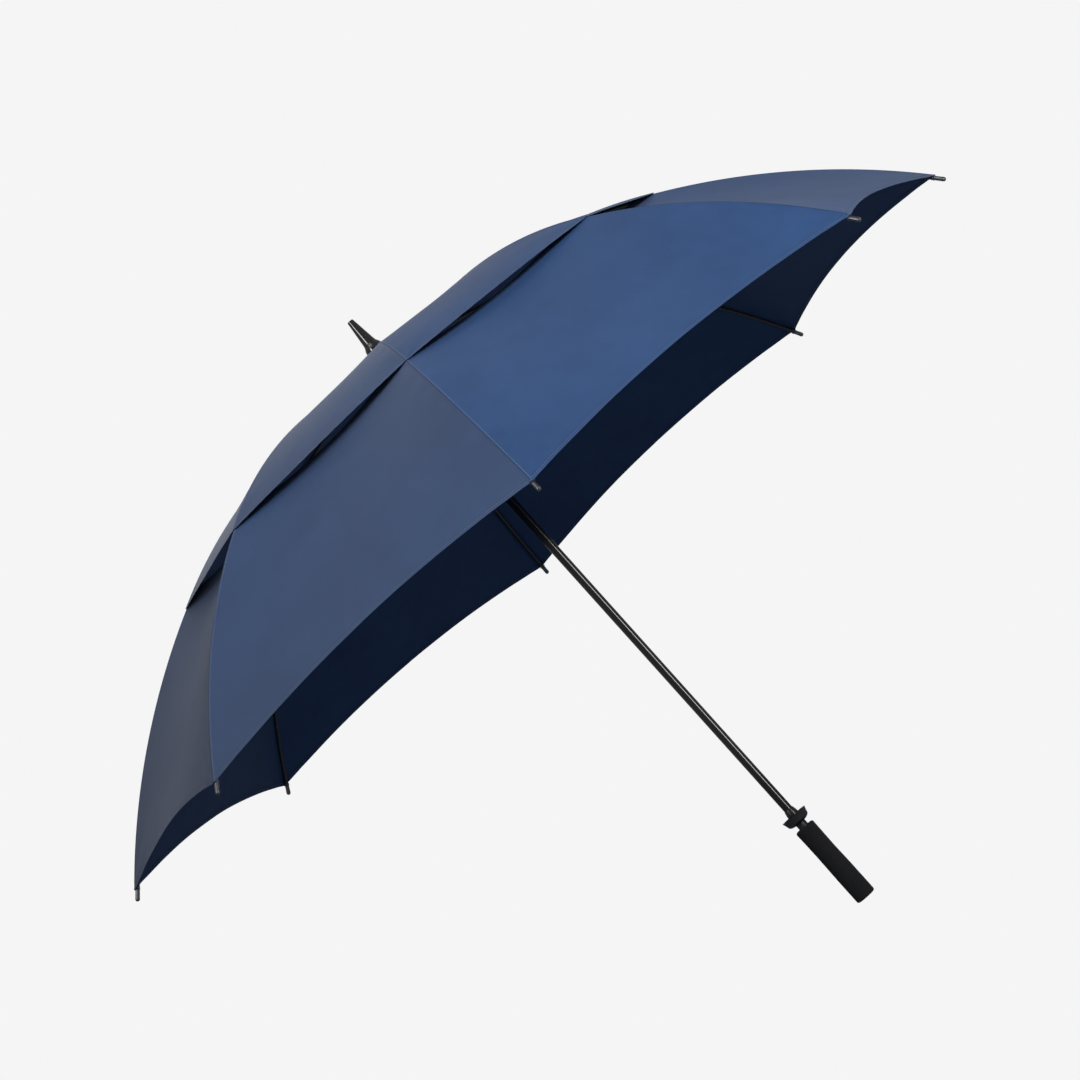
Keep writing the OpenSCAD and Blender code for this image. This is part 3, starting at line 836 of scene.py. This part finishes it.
def gripLine():
    g = gripShape
    edge, flatEnd = g["edge"], g["half"] - g["edge"]
    line = [(g["bore"], -g["half"] + 0.25), (g["bore"] + 0.5, -g["half"] + 0.05)]
    line += [(g["radius"] - edge - 1.2, -g["half"])]
    corner = [math.pi / 2 * i / g["edgeSteps"] for i in range(g["edgeSteps"] + 1)]
    line += [(g["radius"] - edge + edge * math.sin(a), -flatEnd - edge * math.cos(a)) for a in corner]
    steps = g["steps"]
    for i in range(1, steps):
        z = -flatEnd + 2 * flatEnd * i / steps
        narrow = g["waist"] * math.exp(-((z - g["waistAt"]) / g["waistLong"]) ** 2)
        line.append((g["radius"] - narrow, z))
    line += [(g["radius"] - edge + edge * math.cos(a), flatEnd + edge * math.sin(a)) for a in corner]
    line += [(g["radius"] - edge - 1.2, g["half"])]
    line += [(g["bore"] + 0.5, g["half"] - 0.05), (g["bore"], g["half"] - 0.25)]
    return mm(line)


def gripUneven(a, z):
    spot = Vector((math.cos(a) * 0.9, math.sin(a) * 0.9, z * 42))
    return 0.00010 * noise.noise(spot) + 0.00003 * noise.noise(spot * 5)


grip = turned("foamGrip", gripLine(), still, 120, gripUneven)
wear(grip, "foam")
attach(grip, "shaft")
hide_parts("grip")
print("ferrule, cup and grip turned")


# rib tips, joint sleeves and thread

def alongRib(k, s):
    # a frame at station s of rib k: Z along the rib, X up from it, Y across
    out, lateral = ribFrame(k)
    a = ribAngle(s)
    forward = out * math.cos(a) - Vector((0, 0, math.sin(a)))
    up = out * math.sin(a) + Vector((0, 0, math.cos(a)))
    return frameFrom(up, forward.cross(up), forward, ribPoint(k, s))


tipShape = {
    "start": 0.7575,
    "line": [(2.42, 0.0), (2.95, 0.0), (3.12, 0.25), (3.15, 0.8), (3.0, 1.25), (2.9, 1.8), (2.88, 6.0),
             (2.88, 12.6), (2.96, 13.4), (2.98, 14.6), (2.86, 16.0), (2.4, 17.2), (1.5, 17.95), (0.6, 18.2),
             (0.03, 18.22)],
}
sleeveShape = {
    "start": 0.3645, "end": 0.381,
    "line": [(2.34, 0.0), (3.2, 0.0), (3.35, 0.5), (3.35, 6.5), (3.2, 8.0), (2.9, 12.0), (2.62, 15.6),
             (2.5, 16.4), (2.34, 16.5)],
}
ties = {
    "tube": 0.00022, "pitch": 2.1, "lean": 0.18,
    # station along the rib, turns, lowest and highest point from the rib's middle, half width
    "rib": [(0.185, 2, -0.0027, 0.0052, 0.0027), (0.290, 2, -0.0027, 0.0052, 0.0027)],
    "panel": [(0.470, 2, -0.0027, 0.0039, 0.0027), (0.565, 2, -0.0027, 0.0039, 0.0027),
              (0.665, 2, -0.0027, 0.0039, 0.0027), (0.7600, 3, -0.0033, 0.0046, 0.0036)],
}


def threadLoops(name, k, wraps, body):
    # turns of thread round the rib at each station, through the cloth above it
    tube = ties["tube"]
    points, faces, places = [], [], []
    ringSteps, tubeSteps = 28, 6
    for s, turns, low, high, wide in wraps:
        for turnNo in range(turns):
            start = s + (turnNo - (turns - 1) / 2) * tube * ties["pitch"]
            frameAt = alongRib(k, start)
            lean = ties["lean"] * math.sin(k + turnNo * 2.0)
            first = len(points)
            for i in range(ringSteps):
                a = 2 * math.pi * i / ringSteps
                middle = Vector(((high + low) / 2 + (high - low) / 2 * math.cos(a),
                                 wide * math.sin(a), lean * tube * 4 * math.cos(a)))
                around = Vector((math.cos(a), math.sin(a), 0))
                for j in range(tubeSteps):
                    b = 2 * math.pi * j / tubeSteps
                    off = around * math.cos(b) * tube + Vector((0, 0, math.sin(b) * tube))
                    points.append(frameAt @ (middle + off))
                    places.append((b, a * wide, 0.0))
            for i in range(ringSteps):
                for j in range(tubeSteps):
                    here, there = first + i * tubeSteps, first + ((i + 1) % ringSteps) * tubeSteps
                    after = (j + 1) % tubeSteps
                    faces.append([here + j, there + j, there + after, here + after])
    mesh = bpy.data.meshes.new(name)
    mesh.from_pydata(points, [], faces)
    mesh.polygons.foreach_set("use_smooth", [True] * len(faces))
    attribute = mesh.attributes.new("weavePlace", "FLOAT_VECTOR", "POINT")
    attribute.data.foreach_set("vector", [c for place in places for c in place])
    obj = placeMesh(name, mesh)
    wear(obj, "thread")
    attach(obj, body)
    return obj


for k in range(1, ribCount + 1):
    tip = turned("tipCap%d" % k, eased(mm(tipShape["line"]), 3), alongRib(k, tipShape["start"]), 40)
    wear(tip, "tip")
    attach(tip, "rib_end_%d" % k)
    sleeve = turned("jointSleeve%d" % k, eased(mm(sleeveShape["line"]), 3),
                    alongRib(k, sleeveShape["start"]), 36)
    wear(sleeve, "sleeve")
    tuple(ribPoint(k, sleeveShape["start"] + 0.002))
    tuple(ribPoint(k, sleeveShape["end"] - 0.002))
    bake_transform(sleeve)
    threadLoops("ribTies%d" % k, k, ties["rib"], "rib_%d" % k)
    threadLoops("panelTies%d" % k, k, ties["panel"], "rib_end_%d" % k)
print("tips, sleeves and ties on", ribCount, "ribs")

# stage, lights and camera

scene = bpy.context.scene
scene.view_settings.view_transform = "Standard"
scene.view_settings.look = "None"

world = bpy.data.worlds.new("paleStudio")
scene.world = world
world.use_nodes = True
worldShade = Shade(world.node_tree)
background = world.node_tree.nodes["Background"]
seen = worldShade.node("LightPath", out="Is Camera Ray")
glow = seen * (studio["paper"] - studio["ambient"]) + studio["ambient"]
world.node_tree.links.new(glow.socket, background.inputs["Strength"])
background.inputs["Color"].default_value = (1, 1, 1, 1)

floorMesh = bpy.data.meshes.new("floor")
reach, low = studio["floorReach"], cadBox[0][2] - studio["floorDrop"]
corners = [(-reach, -reach), (reach, -reach), (reach, reach), (-reach, reach)]
floorMesh.from_pydata([(x, y, low) for x, y in corners], [], [[0, 1, 2, 3]])
floor = placeMesh("floor", floorMesh)
floorMaterial = bpy.data.materials.new("paleFloor")
floorMaterial.use_nodes = True
floorShade = Shade(floorMaterial.node_tree)
floorMaterial.node_tree.nodes.remove(floorMaterial.node_tree.nodes["Principled BSDF"])
lit = floorShade.node("BsdfDiffuse", {}, {"Color": (*studio["floorBounce"], 1)})
paper = floorShade.node("Emission", {}, {"Color": (1, 1, 1, 1), "Strength": studio["paper"]})
direct = floorShade.node("LightPath", out="Is Camera Ray")
mixed = floorShade.node("MixShader", {}, {0: direct, 1: lit, 2: paper})
floorOutput = floorMaterial.node_tree.nodes["Material Output"]
floorMaterial.node_tree.links.new(mixed.socket, floorOutput.inputs["Surface"])
floorMesh.materials.append(floorMaterial)

lights = {
    # azimuth and elevation in degrees as seen from the canopy, distance, width, height, watts
    "key": (-58, 21, 2.4, 0.8, 0.7, 56),
    "stripRight": (-52, 0, 3.0, 0.75, 1.4, 30),
    "stripLeft": (-131, 27, 3.0, 0.70, 1.2, 30),
    "above": (-120, 66, 3.0, 1.8, 1.8, 17),
}
centre = Vector(studio["centre"])
for name, (azimuth, elevation, away, wide, tall, watts) in lights.items():
    az, el = math.radians(azimuth), math.radians(elevation)
    spot = centre + Vector((math.cos(az) * math.cos(el), math.sin(az) * math.cos(el), math.sin(el))) * away
    lamp = bpy.data.lights.new(name, "AREA")
    lamp.shape = "RECTANGLE"
    lamp.size, lamp.size_y, lamp.energy = wide, tall, watts
    lampObj = bpy.data.objects.new(name, lamp)
    scene.collection.objects.link(lampObj)
    lampObj.location = spot
    # the strips make the highlights, and the key gives light without one
    lampObj.visible_diffuse = not name.startswith("strip")
    lampObj.visible_glossy = name != "key"
    lampObj.rotation_euler = (centre - spot).to_track_quat("-Z", "Y").to_euler()

eye, target, upHint = (Vector(view[key]) for key in ("eye", "lookAt", "up"))
forward = (target - eye).normalized()
right = forward.cross(upHint).normalized()
upward = right.cross(forward)
camera = bpy.data.objects.new("camera", bpy.data.cameras.new("camera"))
camera.data.lens = view["lens"]
camera.data.sensor_width = 36.0
camera.data.clip_end = 60.0
camera.matrix_world = frameFrom(right, upward, -forward, eye)
scene.collection.objects.link(camera)
scene.camera = camera
print("camera and lights set")
